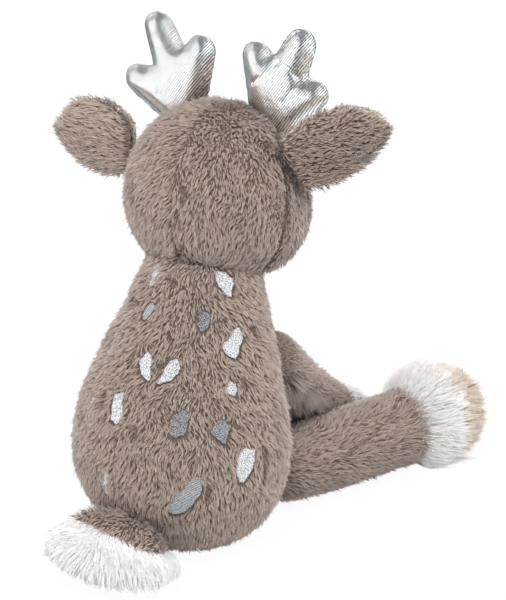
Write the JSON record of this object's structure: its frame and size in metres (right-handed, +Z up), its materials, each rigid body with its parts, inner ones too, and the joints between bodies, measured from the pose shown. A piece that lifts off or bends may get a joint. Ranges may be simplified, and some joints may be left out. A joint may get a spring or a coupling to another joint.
{
  "type": "plush deer toy",
  "caption": "Seated stuffed deer with soft fabric antlers, leaf ears, long-furred feet and tail, and embroidered spots; its head, ears, antlers, limbs and tail flex at their seams.",
  "frame": {"origin": "on the flat face of the seat panel under the torso, on the surface that the toy sits on, in the torso's plane of symmetry", "axes": "+Z up; the toy looks along -Y, so its tail is at +Y; its left side is at +X"},
  "size_m": [0.218, 0.2708, 0.2758],
  "materials": {
    "brown_plush": "short clumped brown pile",
    "white_fur": "long silky white pile",
    "beige_fur": "short dense beige pile",
    "cream_plush": "short cream pile",
    "silver_fabric": "silver metallic woven fabric, softly stuffed",
    "silver_thread": "silver and white embroidery thread",
    "grey_thread": "dark grey metallic embroidery thread",
    "black_plastic": "polished dark safety eye",
    "white_plastic": "natural moulded plastic",
    "nose_thread": "dark brown satin-stitched nose",
    "lining_cloth": "plain woven pouch cloth",
    "filling": "white polyester fibre"
  },
  "bodies": {
    "torso": {"torso": "brown_plush", "seat_panel": "brown_plush", "pellet_bag": "lining_cloth", "spot_01": "silver_thread", "spot_02": "silver_thread", "spot_03": "grey_thread", "spot_04": "silver_thread", "spot_05": "silver_thread", "spot_06": "silver_thread", "spot_07": "silver_thread", "spot_08": "silver_thread", "spot_09": "grey_thread", "spot_10": "grey_thread", "spot_11": "silver_thread", "spot_12": "silver_thread", "spot_13": "silver_thread", "spot_14": "silver_thread", "spot_15": "silver_thread", "spot_16": "silver_thread", "spot_17": "silver_thread", "spot_18": "silver_thread", "spot_19": "silver_thread", "spot_20": "silver_thread"},
    "neck": {"neck_filling": "filling"},
    "head": {"head": "brown_plush", "muzzle": "cream_plush", "nose": "nose_thread", "eye_left": "black_plastic", "eye_right": "black_plastic", "eye_washer_left": "white_plastic", "eye_washer_right": "white_plastic"},
    "tail": {"tail": "brown_plush", "tail_brush": "white_fur"},
    "ear_left": {"ear_back_left": "brown_plush", "ear_lining_left": "cream_plush"},
    "antler_left": {"antler_left": "silver_fabric"},
    "arm_left": {"arm_left": "brown_plush", "paw_left": "white_fur"},
    "leg_left": {"leg_left": "brown_plush", "cuff_left": "white_fur", "sole_left": "beige_fur"},
    "ear_right": {"ear_back_right": "brown_plush", "ear_lining_right": "cream_plush"},
    "antler_right": {"antler_right": "silver_fabric"},
    "arm_right": {"arm_right": "brown_plush", "paw_right": "white_fur"},
    "leg_right": {"leg_right": "brown_plush", "cuff_right": "white_fur", "sole_right": "beige_fur"}
  },
  "joints": [
    {"name": "head_turn", "type": "hinge", "parent": "torso", "child": "neck", "pos_m": [0, -0.016, 0.139], "axis": [0, 0, 1], "range_deg": [-30, 30]},
    {"name": "head_nod", "type": "hinge", "parent": "neck", "child": "head", "pos_m": [0, -0.016, 0.139], "axis": [1, 0, 0], "range_deg": [-15, 15]},
    {"name": "ear_flap_left", "type": "hinge", "parent": "head", "child": "ear_left", "pos_m": [0.04734, -0.02192, 0.206], "axis": [0, 0, 1], "range_deg": [-15, 15], "stiffness_Nm_per_rad": 0.02},
    {"name": "ear_flap_right", "type": "hinge", "parent": "head", "child": "ear_right", "pos_m": [-0.04822, -0.03181, 0.20782], "axis": [0.4045, 0.2061, 0.891], "range_deg": [-15, 15], "stiffness_Nm_per_rad": 0.02},
    {"name": "antler_bend_left", "type": "hinge", "parent": "head", "child": "antler_left", "pos_m": [0.02654, -0.0463, 0.219], "axis": [0.9945, 0.1045, 0], "range_deg": [-15, 15], "stiffness_Nm_per_rad": 0.05},
    {"name": "antler_bend_right", "type": "hinge", "parent": "head", "child": "antler_right", "pos_m": [-0.02319, -0.05153, 0.219], "axis": [0.9945, 0.1045, 0], "range_deg": [-15, 15], "stiffness_Nm_per_rad": 0.05},
    {"name": "arm_swing_left", "type": "hinge", "parent": "torso", "child": "arm_left", "pos_m": [0.027, -0.044, 0.088], "axis": [-1, 0, 0], "range_deg": [0, 60]},
    {"name": "arm_swing_right", "type": "hinge", "parent": "torso", "child": "arm_right", "pos_m": [-0.027, -0.044, 0.088], "axis": [-1, 0, 0], "range_deg": [0, 60]},
    {"name": "leg_splay_left", "type": "hinge", "parent": "torso", "child": "leg_left", "pos_m": [0.036, -0.045, 0.023], "axis": [0, 0, 1], "range_deg": [0, 35]},
    {"name": "leg_splay_right", "type": "hinge", "parent": "torso", "child": "leg_right", "pos_m": [-0.036, -0.045, 0.023], "axis": [0, 0, -1], "range_deg": [0, 35]},
    {"name": "tail_wag", "type": "hinge", "parent": "torso", "child": "tail", "pos_m": [0.007, 0.059, 0.025], "axis": [0, 0, 1], "range_deg": [-20, 20], "stiffness_Nm_per_rad": 0.02}
  ]
}
